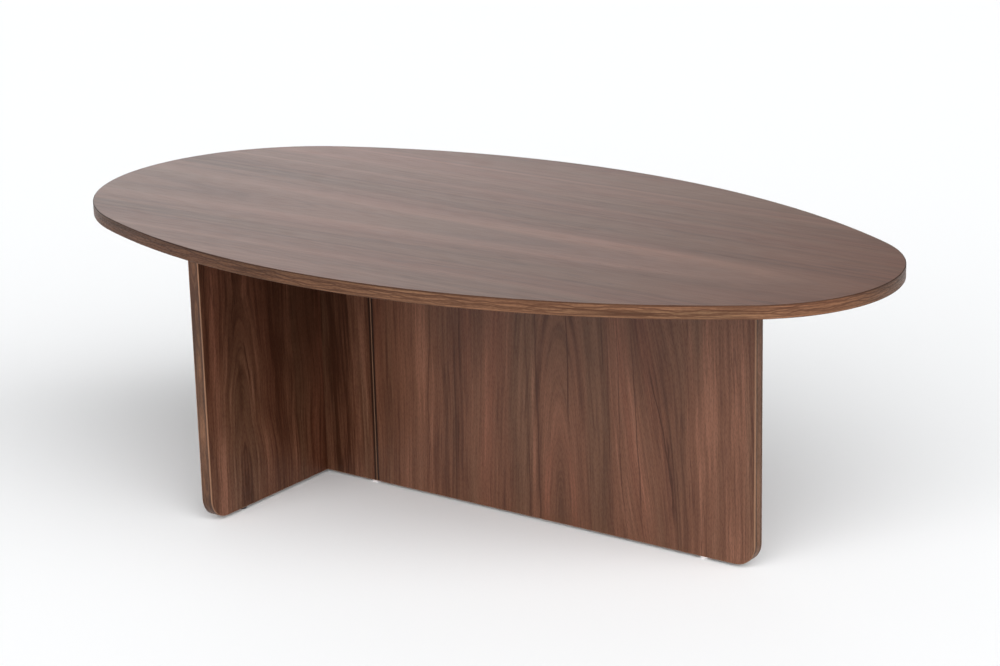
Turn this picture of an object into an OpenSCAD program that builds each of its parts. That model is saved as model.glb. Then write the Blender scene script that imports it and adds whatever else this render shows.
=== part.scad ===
/* [Table] */
// Height of the table from the floor to the top surface
table_h = 405; // [360:1:450]
// Length of the top along X
top_l = 1200; // [1000:1:1500]
// Width of the top across Y, at its widest place
top_w = 660; // [620:1:860]
// Radius of the outline's wide end, towards -X
wide_end_r = 270; // [220:1:300]
// Radius of the outline's narrow end, towards +X
narrow_end_r = 198; // [150:1:260]

/* [Boards] */
// Thickness of the particleboard core
core_t = 16; // [12:0.5:22]
// Thickness of the walnut veneer on each face of a board
veneer_t = 0.6; // [0.4:0.1:1]
// Thickness of the edge band
band_t = 1; // [0.5:0.1:2]

/* [Base] */
// Length of the crossbar panel across Y, under the wide end of the top
crossbar_l = 506; // [430:1:540]
// Distance from the middle of the top to the crossbar panel's inner face
crossbar_x = 275; // [240:1:300]
// Length of the short stub that joins the crossbar to the stem
stub_l = 90; // [80:1:120]
// Distance from the middle of the top to the stem panel's free end
stem_x = 425; // [390:1:450]
// Radius of the rounded lower corners of the panels
corner_r = 30; // [15:1:45]

/* [Glides] */
// Diameter of a glide under the panels
glide_d = 13; // [10:0.5:16]
// Height of a glide
glide_h = 4; // [3:0.5:6]
// Width of the bevel round the glide's sole
glide_bevel = 1.2; // [0.5:0.1:2]
// Height of the upright rim of a glide, above its bevel
glide_rim_h = 2; // [1:0.1:2.5]
// Distance from each end of the crossbar to the middle of its glide
crossbar_glide_inset = 70; // [55:1:90]
// Distance from the seam to the middle of the stub's glide
stub_glide_inset = 8; // [8:0.5:15]
// Distance from the stem's free end to the middle of its glide
stem_glide_inset = 79; // [55:1:100]
// Diameter of the nail in a glide
nail_d = 2; // [1.5:0.1:2.5]
// Length of the nail that stands above the glide
nail_l = 14; // [10:1:20]
// Diameter of the nail's head inside the glide
nail_head_d = 5; // [4:0.5:6]
// Thickness of the nail's head
nail_head_t = 0.8; // [0.5:0.1:1]
// Depth of the nail's head below the top of the glide
nail_head_depth = 2.5; // [2:0.1:2.7]

/* [Cam fittings] */
// Diameter of a cam housing
cam_d = 15; // [12:1:16]
// Height of a cam housing
cam_h = 12; // [10:0.5:13]
// Distance from a panel's edge to the middle of a cam
cam_edge = 34; // [24:1:40]
// Diameter of a cam bolt's shaft
bolt_d = 6; // [5:0.5:7]
// Diameter of the hole that a cam bolt's shaft runs in
bolt_hole_d = 7; // [6.5:0.5:9]
// Diameter of a cam bolt's neck
bolt_neck_d = 4; // [3:0.5:5]
// Length of a cam bolt's neck
bolt_neck_l = 3; // [2:0.5:4]
// Thickness of a cam bolt's head
bolt_head_t = 2.5; // [2:0.5:3]
// Diameter of a cam bolt's threaded end
bolt_thread_d = 5; // [4:0.5:6]
// Depth that a cam bolt's threaded end screws in
bolt_thread_l = 11; // [8:0.5:12]
// Width of the screwdriver cross in a cam's face
cross_w = 1.4; // [1:0.1:2]
// Length of the screwdriver cross in a cam's face
cross_l = 8; // [6:0.5:10]
// Depth of the screwdriver cross in a cam's face
cross_depth = 1; // [1:0.5:1.5]
// Diameter of the stick-on caps over cams and screws
cap_d = 20; // [18:0.5:24]
// Thickness of a stick-on cap
cap_t = 0.5; // [0.3:0.1:1]

/* [Dowels and screws] */
// Diameter of a wooden dowel
dowel_d = 8; // [6:1:8]
// Length of a wooden dowel
dowel_l = 30; // [24:1:35]
// Depth that a dowel reaches into the top
dowel_top_depth = 11; // [8:1:12]
// Diameter of a connecting screw's shaft
screw_d = 5; // [4:0.5:6]
// Length of a connecting screw, without its head
screw_l = 48; // [40:1:60]
// Diameter of a connecting screw's countersunk head
screw_head_d = 9; // [8:0.5:11]
// Height of a connecting screw's countersunk head
screw_head_h = 3; // [2:0.5:4]
// Clearance round a dowel, a cam or a screw's head in its hole
hole_gap = 0.1; // [0.05:0.05:0.3]
// Clearance at the blind end of a hole
end_gap = 1; // [0.5:0.5:2]

/* [Fastener places] */
// Distance from the middle of the crossbar to a cam under the top
crossbar_cam_y = 150; // [130:1:180]
// Distance from the middle of the crossbar to a dowel under the top
crossbar_dowel_y = 100; // [60:1:120]
// Distance from the seam to the stem's first cam under the top
stem_cam_x = 95; // [90:1:110]
// Distance between the stem's cams under the top
stem_cam_step = 210; // [180:1:220]
// Distance from a cam under the stem's top edge to its neighbouring dowel
stem_dowel_step = 45; // [35:1:60]
// Height above the panel's lower edge of the seam's first cam
seam_cam_z = 70; // [60:1:80]
// Distance between the two cams at the seam
seam_cam_step = 210; // [190:1:220]
// Distance from a seam cam to its neighbouring dowel
seam_dowel_step = 35; // [30:1:45]
// Height above the panel's lower edge of the stub's first screw
screw_z = 55; // [45:1:70]
// Distance between the stub's screws
screw_step = 120; // [100:1:125]
// Distance from a screw to its neighbouring dowel at the stub
stub_dowel_step = 60; // [45:1:70]

/* [Hidden] */
board_t = core_t + 2 * veneer_t;
panel_h = table_h - board_t - glide_h;
panel_top_z = glide_h + panel_h;
crossbar_outer_x = -crossbar_x - board_t;
crossbar_mid_x = -crossbar_x - board_t / 2;
seam_x = stub_l - crossbar_x;
stem_l = stem_x - seam_x;
head_reach = cam_edge - bolt_neck_l - bolt_head_t;
stem_cam_count = 3;
screw_count = 3;
through = 1;
rim_faces = 360;
round_faces = 64;
small_faces = 32;
walnut = [0.36, 0.21, 0.12];
walnut_top = [0.52, 0.40, 0.30];
walnut_band = [0.45, 0.26, 0.14];
chipboard = [0.72, 0.58, 0.40];
beech = [0.82, 0.66, 0.45];
zinc = [0.62, 0.62, 0.60];
steel = [0.55, 0.55, 0.56];
plastic = [0.12, 0.10, 0.09];

// Places of the fastenings between the panels and the top
crossbar_cam_ys = [-crossbar_cam_y, crossbar_cam_y];
stem_cam_xs = [for (i = [0 : stem_cam_count - 1]) seam_x + stem_cam_x + i * stem_cam_step];
dowel_places = [
    [crossbar_mid_x, -crossbar_dowel_y],
    [crossbar_mid_x, crossbar_dowel_y],
    [stem_cam_xs[0] + stem_dowel_step, 0],
    [stem_cam_xs[stem_cam_count - 1] - stem_dowel_step, 0]
];

// Heights of the fastenings at the two ends of the stub
seam_cam_zs = [for (i = [0, 1]) glide_h + seam_cam_z + i * seam_cam_step];
seam_dowel_zs = [seam_cam_zs[0] + seam_dowel_step, seam_cam_zs[1] - seam_dowel_step];
screw_zs = [for (i = [0 : screw_count - 1]) glide_h + screw_z + i * screw_step];
stub_dowel_zs = [for (i = [0, 1]) screw_zs[i] + stub_dowel_step];

// Middles of the glides
crossbar_glide_places = [
    for (side = [-1, 1]) [crossbar_mid_x, side * (crossbar_l / 2 - crossbar_glide_inset), 0]
];
stub_glide_place = [seam_x - stub_glide_inset, 0, 0];
stem_glide_place = [stem_x - stem_glide_inset, 0, 0];
glide_places = concat(crossbar_glide_places, [stub_glide_place, stem_glide_place]);

// The top's outline is an egg of four arcs: an end circle at each end, and a large circle along each
// side that touches both end circles from outside. Its centre lies opposite, at [side_x, -side_drop].
wide_end_x = wide_end_r - top_l / 2;
narrow_end_x = top_l / 2 - narrow_end_r;
wide_rest = top_w / 2 - wide_end_r;
narrow_rest = top_w / 2 - narrow_end_r;
span = narrow_end_x - wide_end_x;
reach = span * span + wide_rest * narrow_rest - narrow_rest * narrow_rest;
side_offset = reach / (span + sqrt(span * span + (narrow_rest / wide_rest - 1) * reach));
side_x = wide_end_x + side_offset;
side_drop = (side_offset * side_offset - wide_rest * wide_rest) / (2 * wide_rest);
side_r = top_w / 2 + side_drop;

// Where a side arc drawn in by a distance meets an end arc
function meeting_x(end_x, end_r, inset) = side_x + (side_r - inset) * (end_x - side_x) / (side_r - end_r);

// The top's outline, drawn in by the same distance all the way round
module rim_outline(inset = 0) {
    left = meeting_x(wide_end_x, wide_end_r, inset);
    right = meeting_x(narrow_end_x, narrow_end_r, inset);
    translate([wide_end_x, 0]) circle(r = wide_end_r - inset, $fn = rim_faces);
    translate([narrow_end_x, 0]) circle(r = narrow_end_r - inset, $fn = rim_faces);
    intersection() {
        translate([side_x, -side_drop]) circle(r = side_r - inset, $fn = rim_faces);
        translate([side_x, side_drop]) circle(r = side_r - inset, $fn = rim_faces);
        translate([left, -top_w]) square([right - left, 2 * top_w]);
    }
}

// Upright board from its lower left corner, with a rounded lower corner wherever a radius is given
module board_outline(l, h, left_r = 0, right_r = 0) {
    translate([left_r, 0]) square([l - left_r - right_r, h]);
    if (left_r > 0) {
        translate([0, left_r]) square([left_r, h - left_r]);
        translate([left_r, left_r]) circle(r = left_r, $fn = round_faces);
    }
    if (right_r > 0) {
        translate([l - right_r, right_r]) square([right_r, h - right_r]);
        translate([l - right_r, right_r]) circle(r = right_r, $fn = round_faces);
    }
}

// The board inside its edge band, which runs along the lower edge and up each banded end
module core_outline(l, h, left_r, right_r, left_band, right_band) {
    translate([left_band, band_t])
        board_outline(
            l - left_band - right_band, h - band_t,
            max(left_r - band_t, 0), max(right_r - band_t, 0)
        );
}

// The edge band as a thin strip round the board: open at the top, and at an end without a band
module band_outline(l, h, left_r, right_r, left_band, right_band) {
    left_over = left_band > 0 ? 0 : through;
    difference() {
        board_outline(l, h, left_r, right_r);
        translate([left_band - left_over, band_t])
            board_outline(
                l - left_band - right_band + left_over, h,
                max(left_r - band_t, 0), max(right_r - band_t, 0)
            );
    }
}

// Stand an outline up along X, t thick, with its front face at y
module stand_x(y, t) {
    translate([0, y + t, 0]) rotate([90, 0, 0]) linear_extrude(t) children();
}

// Stand an outline up along Y, t thick, with its outer face at x
module stand_y(x, t) {
    translate([x, 0, 0]) rotate([90, 0, 90]) linear_extrude(t) children();
}

// Upright rod or hole from z up, and a rod or hole along X from x
module upright(place, z, l, d) {
    translate([place[0], place[1], z]) cylinder(h = l, d = d, $fn = small_faces);
}

module along_x(x, y, z, l, d) {
    translate([x, y, z]) rotate([0, 90, 0]) cylinder(h = l, d = d, $fn = small_faces);
}

// Cam frames: +Z of the cam looks out of the panel's hidden face, +X points to the joined edge
module at_crossbar_cams() {
    for (y = crossbar_cam_ys) {
        translate([crossbar_outer_x, y, panel_top_z - cam_edge]) rotate([0, -90, 0]) children();
    }
}

module at_stem_cams() {
    for (x = stem_cam_xs) {
        translate([x, board_t / 2, panel_top_z - cam_edge]) rotate([-90, -90, 0]) children();
    }
}

module at_seam_cams() {
    for (z = seam_cam_zs) {
        translate([seam_x + cam_edge, board_t / 2, z]) rotate([-90, 180, 0]) children();
    }
}

// Round pocket for a cam and the hole that its bolt runs in, sunk from the face at z = 0
module cam_pocket() {
    translate([0, 0, -cam_h - hole_gap])
        cylinder(h = cam_h + hole_gap + through, d = cam_d + 2 * hole_gap, $fn = round_faces);
    along_x(0, 0, -board_t / 2, cam_edge + through, bolt_hole_d);
}

// Cam housing below z = 0: a chamber holds the bolt's head, a narrower lip its neck
module cam() {
    difference() {
        translate([0, 0, -cam_h]) cylinder(h = cam_h, d = cam_d, $fn = round_faces);
        along_x(-end_gap, 0, -board_t / 2, end_gap + bolt_head_t + hole_gap, bolt_hole_d);
        along_x(0, 0, -board_t / 2, cam_d, bolt_neck_d + 2 * hole_gap);
        along_x(bolt_head_t + bolt_neck_l - hole_gap, 0, -board_t / 2, cam_d, bolt_hole_d);
        for (turn = [0, 90]) {
            rotate([0, 0, turn])
                translate([-cross_l / 2, -cross_w / 2, -cross_depth])
                    cube([cross_l, cross_w, cross_depth + through]);
        }
    }
}

// Cam bolt along +Z from the joined edge: thread below it, then shaft, neck and head
module cam_bolt() {
    translate([0, 0, -bolt_thread_l])
        cylinder(h = bolt_thread_l, d = bolt_thread_d, $fn = small_faces);
    cylinder(h = head_reach, d = bolt_d, $fn = small_faces);
    cylinder(h = head_reach + bolt_neck_l, d = bolt_neck_d, $fn = small_faces);
    translate([0, 0, head_reach + bolt_neck_l])
        cylinder(h = bolt_head_t, d = bolt_d, $fn = small_faces);
}

// Stick-on cap over a cam or a screw's head, on the face at z = 0
module cap() {
    cylinder(h = cap_t, d = cap_d, $fn = round_faces);
}

// Nail of a glide, head down, with its head inside the glide
module nail(place) {
    upright(place, glide_h - nail_head_depth, nail_head_depth + nail_l, nail_d);
    upright(place, glide_h - nail_head_depth, nail_head_t, nail_head_d);
}

// Glide turned from plastic, bevelled round its sole, moulded over its nail
module glide(place) {
    r = glide_d / 2;
    difference() {
        translate(place)
            rotate_extrude($fn = round_faces)
                polygon([
                    [0, 0], [r - glide_bevel, 0], [r, glide_h - glide_rim_h], [r, glide_h], [0, glide_h]
                ]);
        nail(place);
    }
}

// Countersunk connecting screw along +X from the crossbar's outer face
module stub_screw(z) {
    translate([crossbar_outer_x, 0, z]) rotate([0, 90, 0]) {
        cylinder(h = screw_head_h, d1 = screw_head_d, d2 = screw_d, $fn = small_faces);
        cylinder(h = screw_l, d = screw_d, $fn = small_faces);
    }
}

// Holes in the top's underside for the bolts and dowels over the panels
module top_holes() {
    for (y = crossbar_cam_ys) {
        upright([crossbar_mid_x, y], panel_top_z - through, through + bolt_thread_l, bolt_thread_d);
    }
    for (x = stem_cam_xs) {
        upright([x, 0], panel_top_z - through, through + bolt_thread_l, bolt_thread_d);
    }
    for (place = dowel_places) {
        upright(
            place, panel_top_z - through, through + dowel_top_depth + end_gap, dowel_d + 2 * hole_gap
        );
    }
}

// Holes in the panels' upper edges for the same dowels
module dowel_holes() {
    depth = dowel_l - dowel_top_depth + end_gap;
    for (place = dowel_places) {
        upright(place, panel_top_z - depth, depth + through, dowel_d + 2 * hole_gap);
    }
}

// Holes in the panels' lower edges for the glides' nails
module nail_holes() {
    for (place = glide_places) {
        upright(place, glide_h - through, through + nail_l, nail_d);
    }
}

// Holes for the dowels between crossbar and stub, blind at both ends
module stub_dowel_holes() {
    for (z = stub_dowel_zs) {
        along_x(
            -crossbar_x - dowel_top_depth - end_gap, 0, z, dowel_l + 2 * end_gap, dowel_d + 2 * hole_gap
        );
    }
}

// Holes across the seam between stub and stem: dowels halfway in each, threads in the stub
module seam_holes() {
    for (z = seam_dowel_zs) {
        along_x(seam_x - dowel_l / 2 - end_gap, 0, z, dowel_l + 2 * end_gap, dowel_d + 2 * hole_gap);
    }
    for (z = seam_cam_zs) {
        along_x(seam_x - bolt_thread_l, 0, z, bolt_thread_l + through, bolt_thread_d);
    }
}

// Every hole bored in the crossbar, the stub and the stem
module crossbar_holes() {
    at_crossbar_cams() cam_pocket();
    dowel_holes();
    nail_holes();
    for (z = screw_zs) {
        stub_screw(z);
    }
    stub_dowel_holes();
}

module stub_holes() {
    seam_holes();
    stub_dowel_holes();
    nail_holes();
    for (z = screw_zs) {
        stub_screw(z);
    }
}

module stem_holes() {
    seam_holes();
    at_stem_cams() cam_pocket();
    at_seam_cams() cam_pocket();
    dowel_holes();
    nail_holes();
}

// A sheet of one of the panels: its core, or a veneer, at a depth through the board
module crossbar_sheet(x, t) {
    difference() {
        stand_y(x, t)
            translate([-crossbar_l / 2, glide_h])
                core_outline(crossbar_l, panel_h, corner_r, corner_r, band_t, band_t);
        crossbar_holes();
    }
}

module stub_sheet(y, t) {
    difference() {
        stand_x(y, t)
            translate([-crossbar_x, glide_h]) core_outline(stub_l, panel_h, 0, 0, 0, band_t);
        stub_holes();
    }
}

module stem_sheet(y, t) {
    difference() {
        stand_x(y, t)
            translate([seam_x, glide_h]) core_outline(stem_l, panel_h, 0, corner_r, band_t, band_t);
        stem_holes();
    }
}

module top_core() {
    color(chipboard)
        difference() {
            translate([0, 0, panel_top_z + veneer_t]) linear_extrude(core_t) rim_outline(band_t);
            top_holes();
        }
}

module top_face_veneer() {
    color(walnut_top)
        translate([0, 0, table_h - veneer_t]) linear_extrude(veneer_t) rim_outline(band_t);
}

module top_backing_veneer() {
    color(walnut)
        difference() {
            translate([0, 0, panel_top_z]) linear_extrude(veneer_t) rim_outline(band_t);
            top_holes();
        }
}

module top_edge_band() {
    color(walnut_band)
        translate([0, 0, panel_top_z])
            linear_extrude(board_t)
                difference() {
                    rim_outline();
                    rim_outline(band_t);
                }
}

module crossbar_core() {
    color(chipboard) crossbar_sheet(crossbar_outer_x + veneer_t, core_t);
}

module crossbar_inner_veneer() {
    color(walnut) crossbar_sheet(-crossbar_x - veneer_t, veneer_t);
}

module crossbar_outer_veneer() {
    color(walnut) crossbar_sheet(crossbar_outer_x, veneer_t);
}

module crossbar_edge_band() {
    color(walnut_band)
        difference() {
            stand_y(crossbar_outer_x, board_t)
                translate([-crossbar_l / 2, glide_h])
                    band_outline(crossbar_l, panel_h, corner_r, corner_r, band_t, band_t);
            nail_holes();
        }
}

module stub_core() {
    color(chipboard) stub_sheet(-core_t / 2, core_t);
}

module stub_front_veneer() {
    color(walnut) stub_sheet(-board_t / 2, veneer_t);
}

module stub_rear_veneer() {
    color(walnut) stub_sheet(core_t / 2, veneer_t);
}

module stub_edge_band() {
    color(walnut_band)
        difference() {
            stand_x(-board_t / 2, board_t)
                translate([-crossbar_x, glide_h]) band_outline(stub_l, panel_h, 0, 0, 0, band_t);
            stub_holes();
        }
}

module stem_core() {
    color(chipboard) stem_sheet(-core_t / 2, core_t);
}

module stem_front_veneer() {
    color(walnut) stem_sheet(-board_t / 2, veneer_t);
}

module stem_rear_veneer() {
    color(walnut) stem_sheet(core_t / 2, veneer_t);
}

module stem_edge_band() {
    color(walnut_band)
        difference() {
            stand_x(-board_t / 2, board_t)
                translate([seam_x, glide_h])
                    band_outline(stem_l, panel_h, 0, corner_r, band_t, band_t);
            stem_holes();
        }
}

module crossbar_glides() {
    color(plastic)
        for (place = crossbar_glide_places) {
            glide(place);
        }
}

module stub_glide() {
    color(plastic) glide(stub_glide_place);
}

module stem_glide() {
    color(plastic) glide(stem_glide_place);
}

module glide_nails() {
    color(steel)
        for (place = glide_places) {
            nail(place);
        }
}

// Bolts that hang from the top's underside, one for each cam below it
module top_cam_bolts() {
    color(steel) {
        for (y = crossbar_cam_ys) {
            translate([crossbar_mid_x, y, panel_top_z]) rotate([180, 0, 0]) cam_bolt();
        }
        for (x = stem_cam_xs) {
            translate([x, 0, panel_top_z]) rotate([180, 0, 0]) cam_bolt();
        }
    }
}

module top_cams() {
    color(zinc) {
        at_crossbar_cams() cam();
        at_stem_cams() cam();
    }
}

module top_dowels() {
    color(beech)
        for (place = dowel_places) {
            upright(place, panel_top_z + dowel_top_depth - dowel_l, dowel_l, dowel_d);
        }
}

module seam_cam_bolts() {
    color(steel)
        for (z = seam_cam_zs) {
            translate([seam_x, 0, z]) rotate([0, 90, 0]) cam_bolt();
        }
}

module seam_cams() {
    color(zinc) at_seam_cams() cam();
}

module seam_dowels() {
    color(beech)
        for (z = seam_dowel_zs) {
            along_x(seam_x - dowel_l / 2, 0, z, dowel_l, dowel_d);
        }
}

module stub_screws() {
    color(steel)
        for (z = screw_zs) {
            stub_screw(z);
        }
}

module stub_dowels() {
    color(beech)
        for (z = stub_dowel_zs) {
            along_x(-crossbar_x - dowel_top_depth, 0, z, dowel_l, dowel_d);
        }
}

module cam_caps() {
    color(walnut) {
        at_crossbar_cams() cap();
        at_stem_cams() cap();
        at_seam_cams() cap();
    }
}

module screw_caps() {
    color(walnut)
        for (z = screw_zs) {
            translate([crossbar_outer_x, 0, z]) rotate([0, -90, 0]) cap();
        }
}

top_core();
top_face_veneer();
top_backing_veneer();
top_edge_band();
crossbar_core();
crossbar_inner_veneer();
crossbar_outer_veneer();
crossbar_edge_band();
stub_core();
stub_front_veneer();
stub_rear_veneer();
stub_edge_band();
stem_core();
stem_front_veneer();
stem_rear_veneer();
stem_edge_band();
crossbar_glides();
stub_glide();
stem_glide();
glide_nails();
top_cam_bolts();
top_cams();
top_dowels();
seam_cam_bolts();
seam_cams();
seam_dowels();
stub_screws();
stub_dowels();
cam_caps();
screw_caps();
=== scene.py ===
import math

import bmesh
import bpy
import numpy as np
from mathutils import Matrix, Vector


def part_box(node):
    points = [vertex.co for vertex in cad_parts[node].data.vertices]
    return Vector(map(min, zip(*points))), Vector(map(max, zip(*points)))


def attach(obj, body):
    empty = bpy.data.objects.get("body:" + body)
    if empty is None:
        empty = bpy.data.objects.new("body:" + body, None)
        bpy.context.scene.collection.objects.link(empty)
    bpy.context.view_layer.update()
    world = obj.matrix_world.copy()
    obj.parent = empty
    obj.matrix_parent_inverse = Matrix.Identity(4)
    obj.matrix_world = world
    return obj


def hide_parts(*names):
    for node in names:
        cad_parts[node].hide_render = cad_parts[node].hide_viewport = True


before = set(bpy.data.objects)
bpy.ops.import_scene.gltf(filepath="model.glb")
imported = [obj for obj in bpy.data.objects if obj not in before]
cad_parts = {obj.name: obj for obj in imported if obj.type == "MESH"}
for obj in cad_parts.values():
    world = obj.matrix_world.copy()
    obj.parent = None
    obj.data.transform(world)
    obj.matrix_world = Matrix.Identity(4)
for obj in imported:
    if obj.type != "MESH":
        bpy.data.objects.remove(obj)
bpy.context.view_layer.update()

# Studio: a pale floor in a dim room with two broad soft walls of light. The wide one is in front on the
# right, and the narrow one, behind on the left, gives the table top its sheen. The camera stands where the
# photograph's did.
CAMERA_PLACE = (1.96178, -2.65471, 1.25201)
CAMERA_RIGHT = (0.81227, 0.58279, -0.023957)
CAMERA_DOWN = (0.151189, -0.250035, -0.95636)
CAMERA_AHEAD = (-0.563347, 0.773200, -0.291208)
CAMERA_LENS = 92.85
CAMERA_REACH = (0.05, 100)
SENSOR_WIDTH = 36
FLOOR_HALF = 14
FLOOR_COLOUR = (0.97, 0.965, 0.96, 1)
FLOOR_ROUGHNESS = 0.9
FLOOR_SHINE = 0.1
ROOM_COLOUR = (0.97, 0.985, 1.0, 1)
ROOM_LIGHT = 0.24
GLOSS_LIGHT = 1.50
BACKDROP_LIGHT = 0.97
SOFT_WALLS = [
    # strength, compass angle and height of its middle in degrees, cosines from its middle to edge and core
    (2.85, -44.3, -10.0, 0.063, 0.357),
    (1.36, 137.5, 0.3, 0.880, 0.996),
]


class Wire:
    """One value in a shader. Sums and products of wires lay Math nodes in their tree."""

    def __init__(self, socket):
        self.socket = socket
        self.tree = socket.id_data

    def joined(self, operation, *values):
        node = self.tree.nodes.new("ShaderNodeMath")
        node.operation = operation
        for slot, value in zip(node.inputs, values):
            feed(slot, value)
        return Wire(node.outputs[0])

    def __add__(self, other):
        return self.joined("ADD", self, other)

    __radd__ = __add__

    def __sub__(self, other):
        return self.joined("SUBTRACT", self, other)

    def __rsub__(self, other):
        return self.joined("SUBTRACT", other, self)

    def __mul__(self, other):
        return self.joined("MULTIPLY", self, other)

    __rmul__ = __mul__

    def __truediv__(self, other):
        return self.joined("DIVIDE", self, other)

    def __abs__(self):
        return self.joined("ABSOLUTE", self)

    def root(self):
        return self.joined("SQRT", self)

    def most(self, other):
        return self.joined("MAXIMUM", self, other)

    def least(self, other):
        return self.joined("MINIMUM", self, other)


def feed(slot, value):
    """Puts a wire or a plain value into an input."""
    if isinstance(value, Wire):
        slot.id_data.links.new(value.socket, slot)
    else:
        slot.default_value = value


def ease(value, low, high, start=0.0, end=1.0):
    """Goes smoothly from start to end while the value goes from low to high, and stays there."""
    node = value.tree.nodes.new("ShaderNodeMapRange")
    node.interpolation_type = "SMOOTHSTEP"
    for slot, v in zip(node.inputs, (value, low, high, start, end)):
        feed(slot, v)
    return Wire(node.outputs[0])


def new_material(name):
    """An empty material and its principled shader."""
    material = bpy.data.materials.new(name)
    material.use_nodes = True
    return material, material.node_tree, material.node_tree.nodes["Principled BSDF"]


def set_camera():
    """The camera, turned so that its x, y and z point right, up and back along the measured directions."""
    camera = bpy.data.objects.new("camera", bpy.data.cameras.new("camera"))
    turn = Matrix([[CAMERA_RIGHT[i], -CAMERA_DOWN[i], -CAMERA_AHEAD[i]] for i in range(3)]).to_4x4()
    camera.matrix_world = Matrix.Translation(CAMERA_PLACE) @ turn
    camera.data.sensor_width = SENSOR_WIDTH
    camera.data.lens = CAMERA_LENS
    camera.data.clip_start, camera.data.clip_end = CAMERA_REACH
    scene = bpy.context.scene
    scene.collection.objects.link(camera)
    scene.camera = camera
    scene.view_settings.view_transform = "Standard"


def lay_floor():
    """A flat square floor, matt and nearly white."""
    mesh = bpy.data.meshes.new("floor")
    h = FLOOR_HALF
    mesh.from_pydata([(-h, -h, 0), (h, -h, 0), (h, h, 0), (-h, h, 0)], [], [(0, 1, 2, 3)])
    floor = bpy.data.objects.new("floor", mesh)
    paint, _, skin = new_material("pale_floor")
    skin.inputs["Base Color"].default_value = FLOOR_COLOUR
    skin.inputs["Roughness"].default_value = FLOOR_ROUGHNESS
    skin.inputs["Specular IOR Level"].default_value = FLOOR_SHINE
    mesh.materials.append(paint)
    bpy.context.scene.collection.objects.link(floor)


def light_room():
    """The light from each direction: the room's own and, for each soft wall, strength x smooth step of the
    cosine between the direction and the wall's middle. Gloss is lit by GLOSS_LIGHT at most, so the table top
    doesn't glare when it is seen from behind. The empty room looks as pale as the floor."""
    world = bpy.data.worlds.new("white_room")
    world.use_nodes = True
    tree = world.node_tree
    way = tree.nodes.new("ShaderNodeTexCoord").outputs["Generated"]
    light = ROOM_LIGHT
    for strength, compass, height, edge, core in SOFT_WALLS:
        compass, height = math.radians(compass), math.radians(height)
        facing = tree.nodes.new("ShaderNodeVectorMath")
        facing.operation = "DOT_PRODUCT"
        facing.inputs[1].default_value = (
            math.cos(height) * math.cos(compass), math.cos(height) * math.sin(compass), math.sin(height)
        )
        tree.links.new(way, facing.inputs[0])
        light = ease(Wire(facing.outputs["Value"]), edge, core, 0.0, strength) + light
    rays = tree.nodes.new("ShaderNodeLightPath").outputs
    for kind, seen in (("Is Glossy Ray", light.least(GLOSS_LIGHT)), ("Is Camera Ray", BACKDROP_LIGHT)):
        choice = tree.nodes.new("ShaderNodeMix")
        for i, value in ((0, Wire(rays[kind])), (2, light), (3, seen)):
            feed(choice.inputs[i], value)
        light = Wire(choice.outputs[0])
    background = tree.nodes["Background"]
    background.inputs["Color"].default_value = ROOM_COLOUR
    feed(background.inputs["Strength"], light)
    bpy.context.scene.world = world


set_camera()
lay_floor()
light_room()

# Top face: walnut veneer 0.6 mm thick, pressed on the top board. Its leaves run along the table, and its
# outline is the egg of four tangent arcs, drawn in by the edge band's thickness.
X, Y, Z = 0, 1, 2
WIDE_END_R = 0.270
NARROW_END_R = 0.198
BAND_T = 0.001
TOP_LOW, TOP_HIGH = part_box("top_edge_band")
TOP_L = TOP_HIGH.x - TOP_LOW.x
TOP_W = TOP_HIGH.y - TOP_LOW.y
ARC_STEP = 0.006
TOP_RINGS = 14
FIRST_RING = 0.04
FIGURE_NOISE = {
    # turns to the metre across and along the leaf, seed, detail and roughness
    "sway": (7, 1, 1.3, 1, 0.5),
    "quiver": (38, 11, 5.1, 2, 0.5),
    "band": (17, 0.6, 11.7, 1, 0.5),
    "streak": (75, 2.6, 23.9, 2, 0.5),
    "strand": (300, 9, 31.3, 3, 0.6),
    "fibre": (1500, 26, 41.9, 2, 0.5),
    "growth": (62, 1.8, 53.1, 3, 0.55),
    "hair": (150, 2.6, 71.1, 2, 0.5),
    "tint": (26, 1.8, 61.7, 2, 0.5),
}
QUIVER_WIDTH = 0.0042
PORE_TURNS = (900, 110)
OLIVE = (0.92, 1.03, 1.04, 1)
REDDISH = (1.05, 0.955, 0.95, 1)
LINE_SHARE = 0.55
PORE_SHARE = 0.35
# How bright the darkest lines leave the colour: glue lines and dark band edges, with painted shade in the
# seams' grooves and beside the arrises.
GLUE_AND_SHADE_LINE_LIGHT = 0.4
STREAK_TONE = 0.8
STREAK_TINT = 0.3
VEIN_SEED_STEP = 3.7
FINISH_DEPTH = 0.0001


def egg_arcs():
    """The egg's four arcs as rows of centre x, centre y, radius, first and last angle of the outward normal.
    A side arc touches both end circles from outside, so its centre, side radius less end radius away from
    each end's centre, follows from the two right-angled triangles."""
    wide_x, narrow_x = WIDE_END_R - TOP_L / 2, TOP_L / 2 - NARROW_END_R
    wide_rest, narrow_rest = TOP_W / 2 - WIDE_END_R, TOP_W / 2 - NARROW_END_R
    span = narrow_x - wide_x
    reach = span**2 + wide_rest * narrow_rest - narrow_rest**2
    offset = reach / (span + math.sqrt(span**2 + (narrow_rest / wide_rest - 1) * reach))
    drop = (offset**2 - wide_rest**2) / (2 * wide_rest)
    side_x, side_r = wide_x + offset, TOP_W / 2 + drop
    wide_turn = math.atan2(drop, wide_x - side_x)
    narrow_turn = math.atan2(drop, narrow_x - side_x)
    return np.array(
        [
            (side_x, -drop, side_r, narrow_turn, wide_turn),
            (wide_x, 0, WIDE_END_R, wide_turn, 2 * math.pi - wide_turn),
            (side_x, drop, side_r, 2 * math.pi - wide_turn, 2 * math.pi - narrow_turn),
            (narrow_x, 0, NARROW_END_R, -narrow_turn, narrow_turn),
        ]
    )


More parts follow.
